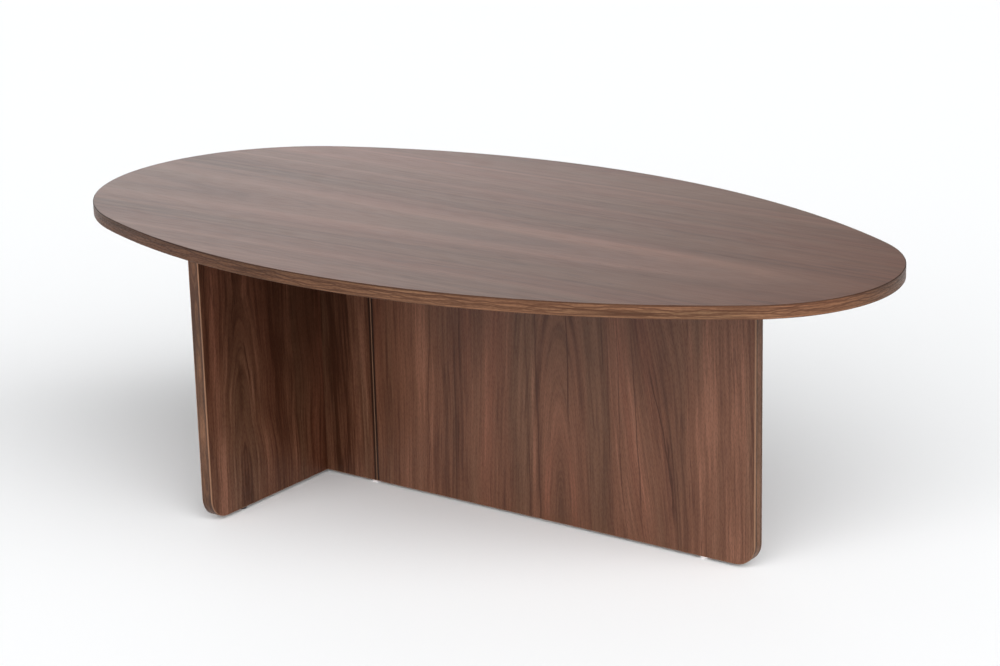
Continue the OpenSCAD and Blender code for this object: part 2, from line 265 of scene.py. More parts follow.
def egg_rim(inset=0.0):
    """Points round the egg and their outward normals: centre + (radius - inset) (cos, sin) of the angle,
    arc after arc, in steps of about ARC_STEP. It starts behind the narrow end and runs anticlockwise."""
    points, normals = [], []
    for x, y, r, first, last in egg_arcs():
        count = int(round(r * (last - first) / ARC_STEP))
        angle = first + (last - first) * np.arange(count) / count
        normal = np.stack([np.cos(angle), np.sin(angle)], -1)
        points.append(np.array([x, y]) + (r - inset) * normal)
        normals.append(normal)
    return np.concatenate(points), np.concatenate(normals)


def grid_faces(rows, columns, loop_rows, loop_columns):
    """Four-sided faces of a grid, and each corner's own row and column before it wraps round."""
    i, j = np.meshgrid(
        np.arange(rows if loop_rows else rows - 1),
        np.arange(columns if loop_columns else columns - 1),
        indexing="ij",
    )
    i, j = i.ravel(), j.ravel()
    corner_i = np.stack([i, i + 1, i + 1, i], -1)
    corner_j = np.stack([j, j, j + 1, j + 1], -1)
    return (corner_i % rows) * columns + corner_j % columns, corner_i, corner_j


def add_piece(name, points, faces, node, smooth_below=35):
    """A mesh object at the origin from an array of points and a list of faces. It is smooth except where
    two faces meet at more than smooth_below degrees. It rides on the table and stands for a CAD node."""
    mesh = bpy.data.meshes.new(name)
    mesh.from_pydata(points.reshape(-1, 3).tolist(), [], faces)
    mesh.validate()
    mesh.shade_smooth()
    mesh.set_sharp_from_angle(angle=math.radians(smooth_below))
    piece = bpy.data.objects.new(name, mesh)
    bpy.context.scene.collection.objects.link(piece)
    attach(piece, "root")
    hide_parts(node)
    return piece


def face_leaf(name, node):
    """The top's veneer as rings of points from its middle to its rim: point = ring share x rim point, on
    the upper side from the middle outwards and on the lower side back again. A ring's share is the sine of
    an angle that grows evenly from FIRST_RING to a right angle, so the rings are closest at the rim."""
    low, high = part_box(node)
    rim, _ = egg_rim(BAND_T)
    share = np.sin(np.linspace(FIRST_RING, math.pi / 2, TOP_RINGS))
    upper = share[:, None, None] * rim[None]
    flat = np.concatenate([upper, upper[::-1]])
    height = np.where(np.arange(2 * TOP_RINGS) < TOP_RINGS, high.z, low.z)[:, None, None]
    points = np.concatenate([flat, np.broadcast_to(height, flat.shape[:2] + (1,))], -1)
    count = len(rim)
    faces, _, _ = grid_faces(2 * TOP_RINGS, count, False, True)
    last = (2 * TOP_RINGS - 1) * count
    caps = [list(range(count)), list(range(last + count - 1, last - 1, -1))]
    return add_piece(name, points, [*faces.tolist(), *caps], node)


top_face = face_leaf("top_face", "top_face_veneer")


def between(value, low, rise, fall, high):
    """1 while the value is between rise and fall, 0 outside low and high, and smooth in between."""
    return ease(value, low, rise) * ease(value, fall, high, 1, 0)


def cloud(across, along, seed=0.0, detail=2.0, rough=0.5):
    """Smooth noise of about 0.3 to 0.7 over the two directions, with the seed as the third."""
    tree = next(v.tree for v in (across, along) if isinstance(v, Wire))
    join = tree.nodes.new("ShaderNodeCombineXYZ")
    for slot, value in zip(join.inputs, (across, along, seed)):
        feed(slot, value)
    noise = tree.nodes.new("ShaderNodeTexNoise")
    tree.links.new(join.outputs[0], noise.inputs["Vector"])
    noise.inputs["Scale"].default_value = 1.0
    noise.inputs["Detail"].default_value = detail
    noise.inputs["Roughness"].default_value = rough
    return Wire(noise.outputs["Fac"])


def blended(share, first, second, way="MIX"):
    """The first colour turned into, or multiplied by, the second by the share."""
    node = share.tree.nodes.new("ShaderNodeMix")
    node.data_type = "RGBA"
    node.blend_type = way
    for i, value in ((0, share), (6, first), (7, second)):
        feed(node.inputs[i], value)
    return Wire(node.outputs[2])


def new_group(name, inputs, outputs):
    """An empty shader group, from its inputs' start values and its outputs' names. An input that starts as
    a tuple and the output Color are colours, and all others are plain values."""
    tree = bpy.data.node_groups.new(name, "ShaderNodeTree")
    for label, value in inputs.items():
        kind = "NodeSocketColor" if isinstance(value, tuple) else "NodeSocketFloat"
        tree.interface.new_socket(label, in_out="INPUT", socket_type=kind).default_value = value
    for label in outputs:
        kind = "NodeSocketColor" if label == "Color" else "NodeSocketFloat"
        tree.interface.new_socket(label, in_out="OUTPUT", socket_type=kind)
    source = tree.nodes.new("NodeGroupInput")
    sink = tree.nodes.new("NodeGroupOutput")
    return tree, {s.name: Wire(s) for s in source.outputs if s.name}, sink.inputs


def walnut_figure():
    """Sliced walnut. A veneer cuts the trunk's rings in nested lines: ring = root((across - heart)^2 +
    depth^2) + taper x along + wander, times fine. Past the place close the depth grows by rise, which shuts
    the lines in round arches. Bands, streaks and thin growth lines are noise of that ring number alone, so
    they follow it, while fibres and pores run straight along the leaf. The wander is a slow sway, bend
    wide and wave times to the metre, and a fine quiver. Stretch draws the small figure out along the leaf,
    broad and speck are the strengths of the broad and the small figure, and grain is across with the same
    wander."""
    tree, given, sink = new_group(
        "walnut_figure",
        {"Across": 0.0, "Along": 0.0, "Heart": 0.0, "Depth": 0.02, "Close": 9.0, "Rise": 0.0, "Taper": 0.05,
         "Bend": 0.006, "Wave": 2.0, "Fine": 1.0, "Broad": 1.0, "Stretch": 1.0, "Speck": 1.0, "Seed": 0.0},
        ("Tone", "Line", "Pore", "Tint", "Grain"),
    )
    across, along, seed, speck = (given[k] for k in ("Across", "Along", "Seed", "Speck"))
    far = along / given["Stretch"]

    def noise(kind, over, length):
        turns_across, turns_along, own_seed, detail, rough = FIGURE_NOISE[kind]
        return cloud(over * turns_across, length * turns_along, seed + own_seed, detail, rough)

    wander = (noise("sway", across, along * given["Wave"]) - 0.5) * given["Bend"] * 4
    wander = wander + (noise("quiver", across, far) - 0.5) * QUIVER_WIDTH
    feed(sink["Grain"], across + wander)
    depth = given["Depth"] + (along - given["Close"]).most(0.0) * given["Rise"]
    from_heart = across - given["Heart"]
    ring = (from_heart * from_heart + depth * depth).root() + given["Taper"] * along + wander
    ring = ring * given["Fine"]
    band = noise("band", ring, along)
    streak = noise("streak", ring, far)
    strand = noise("strand", ring, far)
    fibre = noise("fibre", across, far)
    broad = (band - 0.5) * 0.8 + (streak - 0.5) * 0.8
    small = (strand - 0.5) * 1.05 + (fibre - 0.5) * 0.4
    feed(sink["Tone"], 0.5 + broad * given["Broad"] + small * speck)

    # A growth line lies where a noise crosses its middle. It fades out where the band or streak is pale.
    growth = abs(noise("growth", ring, along) - 0.5)
    hair = abs(noise("hair", ring, far) - 0.5)
    growth_line = ease(growth, 0.0, 0.020, 1, 0) * ease(band, 0.42, 0.62, 1, 0.25)
    hair_line = ease(hair, 0.0, 0.035, 0.6, 0) * ease(streak, 0.40, 0.60, 1, 0)
    feed(sink["Line"], growth_line.most(hair_line))

    # Each pore is the middle of a cell, long and thin along the leaf.
    pores = tree.nodes.new("ShaderNodeTexVoronoi")
    pores.voronoi_dimensions = "2D"
    pores.inputs["Scale"].default_value = 1.0
    join = tree.nodes.new("ShaderNodeCombineXYZ")
    feed(join.inputs[0], across * PORE_TURNS[0])
    feed(join.inputs[1], far * PORE_TURNS[1] + seed)
    tree.links.new(join.outputs[0], pores.inputs["Vector"])
    feed(sink["Pore"], ease(Wire(pores.outputs["Distance"]), 0.16, 0.34, 1, 0) * speck)
    feed(sink["Tint"], noise("tint", ring, along))
    return tree


def walnut_vein():
    """One dark vein of a leaf. Its path is place + lean x (along - low) + a slow sway, it swells and thins
    on its way, and it fades out at low and high."""
    tree, given, sink = new_group(
        "walnut_vein",
        {"Across": 0.0, "Along": 0.0, "Place": 0.0, "Low": 0.0, "High": 1.0, "Lean": 0.0, "Sway": 0.004,
         "Width": 0.001, "Seed": 0.0},
        ("Mask",),
    )
    along, low, high = given["Along"], given["Low"], given["High"]
    sway = (cloud(along * 14, 0.0, given["Seed"], 2) - 0.5) * given["Sway"]
    path = given["Place"] + given["Lean"] * (along - low) + sway
    width = given["Width"] * (0.35 + cloud(along * 34, 7.0, given["Seed"] + 3.3, 1) * 1.3)
    off = abs(given["Across"] - path) / width
    run = between((along - low) / (high - low), 0.0, 0.25, 0.75, 1.0)
    feed(sink["Mask"], ease(off, 0.25, 1.0, 1, 0) * run)
    return tree


def walnut_finish():
    """Tone to colour: dark, middle and pale brown, turned towards olive or red by the tint, darkened in
    growth lines and pores, and turned to the worn colour on an arris: wear with a painted highlight. A line
    stronger than 1 is darker still: glue lines and dark band edges, with painted shade in a seam's groove
    and beside an arris. Light scales the colour; where it changes over a leaf, it is painted light and shade.
    It also gives the satin lacquer's roughness and the open pores' height."""
    tree, given, sink = new_group(
        "walnut_finish",
        {"Tone": 0.5, "Line": 0.0, "Pore": 0.0, "Tint": 0.5, "Vein": 0.0, "Rub_and_highlight": 0.0, "Contrast": 1.0,
         "Gloss": 0.4, "Light": 1.0, "Dark": (0.036, 0.0100, 0.0035, 1), "Middle": (0.092, 0.0354, 0.0180, 1),
         "Pale": (0.170, 0.0720, 0.0420, 1), "Worn_and_highlight": (0.215, 0.112, 0.064, 1)},
        ("Color", "Roughness", "Height"),
    )
    line, pore, tint, vein = (given[k] for k in ("Line", "Pore", "Tint", "Vein"))
    tone = (given["Tone"] - 0.5) * given["Contrast"] + 0.5
    colour = blended(ease(tone, 0.15, 0.55), given["Dark"], given["Middle"])
    colour = blended(ease(tone, 0.5, 0.95), colour, given["Pale"])
    colour = blended(ease(tint, 0.50, 0.68), colour, OLIVE, "MULTIPLY")
    colour = blended(ease(tint, 0.48, 0.32), colour, REDDISH, "MULTIPLY")
    for share in (line * LINE_SHARE, vein, pore * PORE_SHARE):
        colour = blended(share, colour, given["Dark"])
    # Painted highlight: the pale arris takes this colour, which is also its wear.
    colour = blended(given["Rub_and_highlight"], colour, given["Worn_and_highlight"])
    bright = tree.nodes.new("ShaderNodeVectorMath")
    bright.operation = "SCALE"
    feed(bright.inputs[0], colour)
    # Lines stronger than 1 darken further, partly as painted shade; an uneven Light is painted light and
    # shade.
    feed(bright.inputs["Scale"], given["Light"] * ease(line, 1.0, 1.8, 1.0, GLUE_AND_SHADE_LINE_LIGHT))
    feed(sink["Color"], Wire(bright.outputs[0]))
    feed(sink["Roughness"], given["Gloss"] + pore * 0.25 + (0.5 - tone) * 0.10)
    feed(sink["Height"], 0.5 - pore * 0.5 - line * 0.15 - vein * 0.2)
    return tree


FIGURE = walnut_figure()
VEIN = walnut_vein()
FINISH = walnut_finish()


def placed(tree, group, **values):
    """A group in a tree, with its inputs set by name. Gives its outputs by name."""
    node = tree.nodes.new("ShaderNodeGroup")
    node.node_tree = group
    for label, value in values.items():
        feed(node.inputs[label], value)
    return {s.name: Wire(s) for s in node.outputs}


def place_of(tree, uv_map=None):
    """X, Y and Z of the object's own coordinates, or u and v of a named map."""
    if uv_map:
        source = tree.nodes.new("ShaderNodeUVMap")
        source.uv_map = uv_map
        socket = source.outputs["UV"]
    else:
        socket = tree.nodes.new("ShaderNodeTexCoord").outputs["Object"]
    split = tree.nodes.new("ShaderNodeSeparateXYZ")
    tree.links.new(socket, split.inputs[0])
    return [Wire(s) for s in split.outputs]


def bumped(tree, skin, height, strength, distance):
    """Carries a height into the shader's normal."""
    bump = tree.nodes.new("ShaderNodeBump")
    bump.inputs["Strength"].default_value = strength
    bump.inputs["Distance"].default_value = distance
    feed(bump.inputs["Height"], height)
    tree.links.new(bump.outputs["Normal"], skin.inputs["Normal"])


def streak_ramp(grain, streaks):
    """Broad streaks of one leaf, laid across it as a ramp. Each row has a place in millimetres, a tone from
    0, dark, to 1, pale, and a tint from 0, red, to 1, olive. In between, both change evenly."""
    low, high = streaks[0][0] / 1000, streaks[-1][0] / 1000
    ramp = grain.tree.nodes.new("ShaderNodeValToRGB")
    feed(ramp.inputs[0], (grain - low) / (high - low))
    stops = ramp.color_ramp.elements
    for i, (place, tone, tint) in enumerate(streaks):
        share = (place / 1000 - low) / (high - low)
        stop = stops.new(share) if 0 < i < len(streaks) - 1 else stops[min(i, len(stops) - 1)]
        stop.position, stop.color = share, (tone, tint, 0, 1)
    split = grain.tree.nodes.new("ShaderNodeSeparateColor")
    grain.tree.links.new(ramp.outputs[0], split.inputs[0])
    return Wire(split.outputs[0]), Wire(split.outputs[1])


def veneer(name, across_axis, along_axis, figure, finish, uv_map=None, streaks=(), veins=(), lean=None,
           edge=None, relief=0.2, shine=0.26):
    """A walnut veneer material: figure, broad streaks, single veins, then the finish. across_axis and
    along_axis pick the coordinates. A vein's row has its place, low, high, lean, sway, width and strength.
    lean is the middle, half width, slope and pivot of a zone whose grain leans. edge makes the marks of the
    leaf's border from the coordinates: Line, Rub and, where it isn't even, Light. Among them is painted
    light: the dark lines at seams and arrises are partly painted shade, the pale arris is partly a painted
    highlight, and an uneven Light paints light and shade."""
    material, tree, skin = new_material(name)
    place = place_of(tree, uv_map)
    across, along = place[across_axis], place[along_axis]
    if lean:
        middle, half, slope, pivot = lean
        across = across + ease(abs(across - middle), 0.0, half, slope, 0.0) * (along - pivot)
    made = placed(tree, FIGURE, Across=across, Along=along, **figure)
    grain = made.pop("Grain")
    if streaks:
        tone, tint = streak_ramp(grain, streaks)
        made["Tone"] = made["Tone"] + (tone - 0.5) * STREAK_TONE
        made["Tint"] = made["Tint"] + (tint - 0.5) * STREAK_TINT
    for i, (x, low, high, slope, sway, width, strength) in enumerate(veins):
        vein = placed(
            tree, VEIN, Across=grain, Along=along, Place=x, Low=low, High=high, Lean=slope, Sway=sway,
            Width=width, Seed=figure["Seed"] + VEIN_SEED_STEP * i,
        )["Mask"] * strength
        made["Vein"] = made["Vein"].most(vein) if i else vein
    if edge:
        # The border's marks: real lines and wear, with painted light and shade among them.
        marks_and_light = edge(place)
        made["Line"] = made["Line"].most(marks_and_light.pop("Line"))
        finish = {**finish, **marks_and_light}
    done = placed(tree, FINISH, **made, **finish)
    feed(skin.inputs["Base Color"], done["Color"])
    feed(skin.inputs["Roughness"], done["Roughness"])
    skin.inputs["Specular IOR Level"].default_value = shine
    bumped(tree, skin, done["Height"], relief, FINISH_DEPTH)
    return material


def dress(piece_or_node, material):
    """Puts one material on a new piece, or on a CAD node that stays."""
    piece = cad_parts[piece_or_node] if isinstance(piece_or_node, str) else piece_or_node
    piece.data.materials.clear()
    piece.data.materials.append(material)


dress(top_face, veneer(
    "walnut_top_leaves", Y, X,
    {"Heart": -0.06, "Depth": 0.12, "Taper": 0.02, "Bend": 0.006, "Wave": 1.2, "Broad": 0.9, "Stretch": 7.0,
     "Speck": 0.30, "Seed": 3.0},
    {"Contrast": 0.8, "Gloss": 0.295, "Light": 1.60},
    veins=[
        (0.020, 0.30, 0.70, -0.02, 0.004, 0.0045, 0.45),
        (0.004, 0.26, 0.74, -0.01, 0.004, 0.0035, 0.40),
        (-0.060, 0.04, 0.36, 0.00, 0.010, 0.0200, 0.24),
        (-0.045, -0.30, -0.04, -0.02, 0.006, 0.0090, 0.20),
        (-0.085, -0.10, 0.62, 0.02, 0.010, 0.0450, 0.26),
    ],
    relief=0.02, shine=0.35,
))

# Top edge band: one strip of walnut veneer edging, a millimetre thick, glued round the rim with its ends
# meeting behind the narrow end. Both of its arrises are scraped round.
U, V = 0, 1
ARRIS_R = 0.0008
ARRIS_STEPS = 6
SUPPORT = 0.00015
BAND_SMOOTH_BELOW = 40
BAND_COLOURS = {
    "Dark": (0.034, 0.0120, 0.005, 1), "Middle": (0.108, 0.0450, 0.0200, 1), "Pale": (0.200, 0.092, 0.046, 1)
}
RIM_COLOURS = {**BAND_COLOURS, "Middle": (0.104, 0.0480, 0.0240, 1), "Pale": (0.190, 0.101, 0.059, 1)}
RIM_TOP_LINE = (0.0018, 0.0030)
RIM_LIP = (0.0148, 0.0156, 0.0164, 0.0170)
RIM_LOW_LINE = (0.0166, 0.0174)


def band_profile(board_t):
    """The band's cross-section as (outward, across) points: a strip whose two outer corners are quarter
    circles, with support points close to them that keep the flats flat. Runs once round, clockwise."""
    half = board_t / 2
    turn = np.linspace(0, math.pi / 2, ARRIS_STEPS + 1)
    upper = np.stack([-ARRIS_R + ARRIS_R * np.sin(turn), half - ARRIS_R + ARRIS_R * np.cos(turn)], -1)
    lower = upper[::-1] * (1, -1)
    flats_out = np.array([(0, half - ARRIS_R - SUPPORT), (0, -half + ARRIS_R + SUPPORT)])
    return np.concatenate([[(-BAND_T, half)], upper, flats_out, lower, [(-BAND_T, -half)]])


def turned_out(piece):
    """Recalculates the faces of a closed piece so that they point outwards."""
    work = bmesh.new()
    work.from_mesh(piece.data)
    bmesh.ops.recalc_face_normals(work, faces=work.faces)
    work.to_mesh(piece.data)
    work.free()


def sweep_band(name, path, outward, across, profile, closed, node):
    """A strip along a path: point = path + outward x first + across x second coordinate of the profile.
    Its map has the distance along the path as u and the distance round the profile as v, in metres."""
    points = path[:, None] + outward[:, None] * profile[:, :1] + np.array(across) * profile[:, 1:]
    rows, columns = points.shape[:2]
    faces, corner_i, corner_j = grid_faces(rows, columns, closed, True)
    u, v = (
        np.concatenate([[0], np.cumsum(np.linalg.norm(np.roll(line, -1, 0) - line, axis=1))])
        for line in (path, profile)
    )
    uv = np.stack([u[corner_i], v[corner_j]], -1).reshape(-1, 2)
    faces = faces.tolist()
    if not closed:
        faces += [list(range(columns - 1, -1, -1)), list(range((rows - 1) * columns, rows * columns))]
        uv = np.concatenate([uv, profile[::-1], profile])
    piece = add_piece(name, points, faces, node, BAND_SMOOTH_BELOW)
    piece.data.uv_layers.new(name="strip").data.foreach_set("uv", uv.ravel())
    turned_out(piece)
    return piece


def wobble(u, v, turns, width):
    """The unevenness of a band's marks: noise that turns so often to the metre of u, by a width in metres."""
    return (cloud(u * turns, v * 300, 5.0, 2) - 0.5) * width


def rim_marks_and_painted_light(place):
    """Marks of the rim's band, by the way u round the table and the way v round the section, from the top
    face down: a dark glue line under the upper arris, a slightly rubbed lower lip, and a dark lower arris.
    The near side is painted paler towards the narrow end, where the light falls on it: painted light."""
    u, v = place[U], place[V]
    v = v + wobble(u, v, 60, 0.0008)
    line = ease(v, *RIM_TOP_LINE, 1, 0).most(ease(v, *RIM_LOW_LINE) * 0.9)
    return {
        "Line": line * 1.3,
        "Rub_and_highlight": between(v, *RIM_LIP) * 0.08,
        # Painted light: the near side paler towards the narrow end.
        "Light": ease(u, 1.75, 2.45, 0.9, 1.8) - ease(u, 2.70, 2.80, 0.0, 0.9),
    }


rim_points, rim_normals = egg_rim()
top_band = sweep_band(
    "top_rim_band",
    np.column_stack([rim_points, np.full(len(rim_points), (TOP_LOW.z + TOP_HIGH.z) / 2)]),
    np.column_stack([rim_normals, np.zeros(len(rim_normals))]),
    (0, 0, 1), band_profile(TOP_HIGH.z - TOP_LOW.z), True, "top_edge_band",
)
dress(top_band, veneer(
    "walnut_rim_edging", V, U,
    {"Heart": 0.012, "Depth": 0.002, "Taper": 0.002, "Bend": 0.0020, "Wave": 4.0, "Fine": 2.0, "Seed": 17.0},
    {"Contrast": 0.95, "Gloss": 0.42, **RIM_COLOURS}, "strip",
    veins=[
        (0.0055, -1.5, 4.5, 0.0, 0.020, 0.0013, 0.80),
        (0.0088, -1.5, 4.5, 0.0, 0.024, 0.0011, 0.75),
        (0.0118, -1.5, 4.5, 0.0, 0.020, 0.0012, 0.70),
        (0.0140, -1.5, 4.5, 0.0, 0.010, 0.0008, 0.60),
    ],
    edge=rim_marks_and_painted_light, shine=0.19,
))

# Boards: the cores of top, crossbar, stub and stem are sawn from particle board 16 mm thick. The top's has
# a plainer walnut veneer pressed underneath, which keeps it flat.
FLAKE_TURNS = 240
DUST_TURNS = 900
FLAKE_DARK = (0.30, 0.20, 0.11, 1)
FLAKE_PALE = (0.66, 0.52, 0.34, 1)
FLAKE_DEPTH = 0.0003


def chipboard():
    """Pressed wood flakes in shades of straw, from noise of three sizes, with fine dust over it."""
    material, tree, skin = new_material("pressed_flakes")
    x, y, z = place_of(tree)
    flakes = cloud(x * FLAKE_TURNS, y * FLAKE_TURNS, z * FLAKE_TURNS, 3, 0.6)
    dust = cloud(x * DUST_TURNS, y * DUST_TURNS, z * DUST_TURNS, 1)
    shade = (flakes - 0.5) * 1.3 + (dust - 0.5) * 0.8
    feed(skin.inputs["Base Color"], blended(ease(shade, -0.3, 0.35), FLAKE_DARK, FLAKE_PALE))
    feed(skin.inputs["Roughness"], 0.85 + shade * 0.1)
    bumped(tree, skin, shade, 0.4, FLAKE_DEPTH)
    return material


CHIPBOARD = chipboard()
for board in ("top_core", "crossbar_core", "stub_core", "stem_core"):
    dress(board, CHIPBOARD)
dress("top_backing_veneer", veneer(
    "walnut_backing", Y, X,
    {"Heart": 0.1, "Depth": 0.1, "Taper": 0.02, "Bend": 0.006, "Seed": 29.0},
    {"Contrast": 0.7, "Gloss": 0.5, "Light": 1.2},
    streaks=[(-330, 0.50, 0.5), (-240, 0.40, 0.6), (-170, 0.56, 0.45), (-60, 0.48, 0.5), (20, 0.60, 0.45),
             (110, 0.44, 0.6), (190, 0.54, 0.5), (330, 0.50, 0.5)],
))

# Crossbar: an upright board across the wide end, veneered on both faces with the grain standing up. Its
# band runs down one end, along the lower edge and up the other end, round the two lower corners.
CORNER_R = 0.030
CORNER_STEPS = 24
UPRIGHT_STEPS = 60
RUN_STEPS = 80
PANEL_BAND = {"Contrast": 1.5, "Gloss": 0.42, **BAND_COLOURS}
ROUND_THE_BAND = 0.0185
# Bands of w past an arris: the dark line, a glue line with painted shade, then the pale arris, wear with a
# painted highlight.
ARRIS_LINE = (0.0028, 0.0056, 0.0069, 0.0072)
ARRIS_RUB_AND_HIGHLIGHT = (0.0072, 0.0076)


def arris_marks_and_painted_light(place):
    """Line and Rub of an upright board's band, by the way u along it and the way v round its section. The
    distance w of v from half the way round is greatest past the two arrises, so each arris is turned pale,
    wear with a painted highlight, with a dark line beside it on the outer face, a glue line darkened as
    painted shade."""
    u, v = place[U], place[V]
    w = abs(v - ROUND_THE_BAND / 2) + wobble(u, v, 90, 0.0007)
    return {"Line": between(w, *ARRIS_LINE) * 1.2, "Rub_and_highlight": ease(w, *ARRIS_RUB_AND_HIGHLIGHT)}


def edge_path(start, end, low, high, left_r, right_r, left_up, right_up):
    """Path of a band in its board's plane, as (along, up) points with outward normals: down the left end
    where it has one, round a quarter circle at the corner, along the lower edge, and up the right end.
    At a square corner the two normals are joined into one that points out at 45 degrees."""
    quarter = np.linspace(0, math.pi / 2, CORNER_STEPS + 1)
    points, normals = [], []

    def lay(rows, facing):
        points.append(np.atleast_2d(rows))
        normals.append(np.broadcast_to(facing, points[-1].shape))

    if left_up:
        lay([(start, z) for z in np.linspace(high, low + left_r, UPRIGHT_STEPS)[:-1]], (-1, 0))
    if left_r:
        facing = np.stack([-np.cos(quarter), -np.sin(quarter)], -1)
        lay(np.array([start + left_r, low + left_r]) + left_r * facing, facing)
    else:
        lay([(start, low)], (-1 if left_up else 0, -1))
    lay([(x, low) for x in np.linspace(start + left_r, end - right_r, RUN_STEPS)[1:-1]], (0, -1))
    if right_r:
        facing = np.stack([np.sin(quarter), -np.cos(quarter)], -1)
        lay(np.array([end - right_r, low + right_r]) + right_r * facing, facing)
    else:
        lay([(end, low)], (1 if right_up else 0, -1))
    if right_up:
        lay([(end, z) for z in np.linspace(low + right_r, high, UPRIGHT_STEPS)[1:]], (1, 0))
    return np.concatenate(points), np.concatenate(normals)


def panel_band(board, axis, corners, ends, edge, seed, shine):
    """The band of an upright board that runs along an axis, X or Y, within the CAD band's own box. corners
    are the radii of its two lower corners, and ends say at which ends it stands up."""
    node = f"{board}_edge_band"
    low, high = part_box(node)
    path, facing = edge_path(low[axis], high[axis], low.z, high.z, *corners, *ends)
    other = 1 - axis
    points, normals = np.zeros((2, len(path), 3))
    points[:, axis], points[:, other], points[:, Z] = path[:, 0], (low[other] + high[other]) / 2, path[:, 1]
    normals[:, axis], normals[:, Z] = facing[:, 0], facing[:, 1]
    profile = band_profile(high[other] - low[other])
    band = sweep_band(f"{board}_band", points, normals, np.eye(3)[other], profile, False, node)
    dress(band, veneer(
        f"walnut_{board}_edging", V, U,
        {"Heart": 0.008, "Depth": 0.02, "Taper": 0.003, "Bend": 0.0014, "Wave": 5.0, "Fine": 2.0,
         "Seed": seed},
        PANEL_BAND, "strip", edge=edge, shine=shine,
    ))


def crossbar_marks_and_painted_light(place):
    """The arris marks, less rubbed, on a strip painted paler at the top of its near end, where the top's
    overhang shades it: painted light.
    """
    marks_and_light = arris_marks_and_painted_light(place)
    # Painted light: paler at the top of the near end.
    return {**marks_and_light, "Rub_and_highlight": marks_and_light["Rub_and_highlight"] * 0.6, "Light": ease(place[U], 0.03, 0.13, 1.9, 1.15)}


def inner_marks_and_painted_light(place):
    """Marks of the inner leaf: a dark line inside each upright border, a glue line with painted shade beside
    the arris, and the last half millimetre rubbed, wear with a painted highlight. The leaf is painted paler
    towards the floor and darker up under the top: painted shade."""
    side = abs(place[Y])
    return {
        # A glue line with painted shade beside the arris, then the arris's wear with a painted highlight.
        "Line": between(side, 0.2480, 0.2495, 0.2510, 0.2513) * 0.7,
        "Rub_and_highlight": ease(side, 0.2513, 0.2517),
        # Painted shade: darker up under the top, paler towards the floor.
        "Light": ease(place[Z], -0.03, 0.30, 1.12, 0.76),
    }


panel_band("crossbar", Y, (CORNER_R, CORNER_R), (True, True), crossbar_marks_and_painted_light, 41.0, 0.33)
dress("crossbar_inner_veneer", veneer(
    "walnut_crossbar_inner", Y, Z,
    {"Heart": -0.180, "Depth": 0.003, "Close": 0.100, "Rise": 0.10, "Taper": 0.01, "Bend": 0.006,
     "Wave": 7.0, "Broad": 0.6, "Seed": 7.0},
    {"Contrast": 1.2, "Gloss": 0.38},
    # The pale streaks near the outer border, from -236 to -218, are partly the leaf's own and partly painted
    # light, raised where more light falls.
    streaks=[(-253, 0.56, 0.5), (-242, 0.48, 0.5), (-236, 0.72, 0.5), (-228, 0.80, 0.5), (-218, 0.66, 0.5),
             (-205, 0.55, 0.5), (-186, 0.34, 0.6), (-176, 0.36, 0.6), (-160, 0.54, 0.45), (-135, 0.54, 0.45),
             (-115, 0.42, 0.45), (-106, 0.26, 0.5), (-98, 0.38, 0.45), (-60, 0.38, 0.42), (-30, 0.44, 0.42),
             (0, 0.46, 0.5), (60, 0.56, 0.5), (110, 0.42, 0.5), (160, 0.56, 0.5), (253, 0.50, 0.5)],
    veins=[
        (-0.104, 0.060, 0.280, 0.00, 0.010, 0.0028, 0.9),
        (-0.162, 0.170, 0.245, -0.06, 0.008, 0.0018, 0.8),
        (-0.082, 0.080, 0.185, 0.02, 0.008, 0.0014, 0.8),
        (-0.183, 0.120, 0.235, 0.02, 0.010, 0.0050, 0.5),
        # The next two wide faint veins darken the upper part by the inner corner: painted shade under the
        # top, drawn as dark heartwood.
        (-0.040, 0.040, 0.760, 0.00, 0.010, 0.0480, 0.45),
        (-0.110, 0.060, 0.760, 0.00, 0.010, 0.0360, 0.35),
        (-0.020, -0.300, 0.500, 0.00, 0.006, 0.0008, 0.7),
        (-0.060, -0.300, 0.500, 0.00, 0.006, 0.0008, 0.6),
    ],
    edge=inner_marks_and_painted_light, shine=0.18,
))
dress("crossbar_outer_veneer", veneer(
    "walnut_crossbar_outer", Y, Z,
    {"Heart": 0.04, "Depth": 0.004, "Close": 0.09, "Rise": 0.16, "Taper": 0.01, "Bend": 0.006, "Wave": 4.0,
     "Seed": 9.0},
    {"Contrast": 0.9, "Gloss": 0.40, "Light": 1.15},
    streaks=[(-253, 0.52, 0.45), (-225, 0.40, 0.6), (-196, 0.58, 0.45), (-150, 0.46, 0.5), (-128, 0.34, 0.6),
             (-112, 0.54, 0.45), (-60, 0.60, 0.45), (-20, 0.50, 0.5), (40, 0.52, 0.5), (92, 0.60, 0.45),
             (118, 0.38, 0.6), (150, 0.50, 0.5), (188, 0.62, 0.45), (214, 0.42, 0.6), (253, 0.54, 0.5)],
    veins=[
        (-0.131, 0.00, 0.39, 0.01, 0.008, 0.0016, 0.8),
        (0.115, 0.10, 0.40, -0.02, 0.008, 0.0014, 0.8),
        (0.205, -0.05, 0.25, 0.02, 0.006, 0.0010, 0.6),
    ],
))

# Stub: a short board on end against the crossbar's inner face. Its band runs along the lower edge and up
# the end that meets the stem.
STUB_L = 0.090
SEAM_FADE = 0.002
STUB_BORDER = (-0.1866, -0.1863)


def stub_marks_and_painted_light(place):
    """The arris marks, with their painted highlight and shade, but less rubbed where the band stands up
    the seam.
    """
    marks_and_light = arris_marks_and_painted_light(place)
    # The arris's wear with its painted highlight, faded at the seam.
    rub_and_highlight = marks_and_light["Rub_and_highlight"] * ease(place[U], STUB_L - SEAM_FADE, STUB_L, 1.0, 0.45)
    return {**marks_and_light, "Rub_and_highlight": rub_and_highlight, "Light": 0.9}


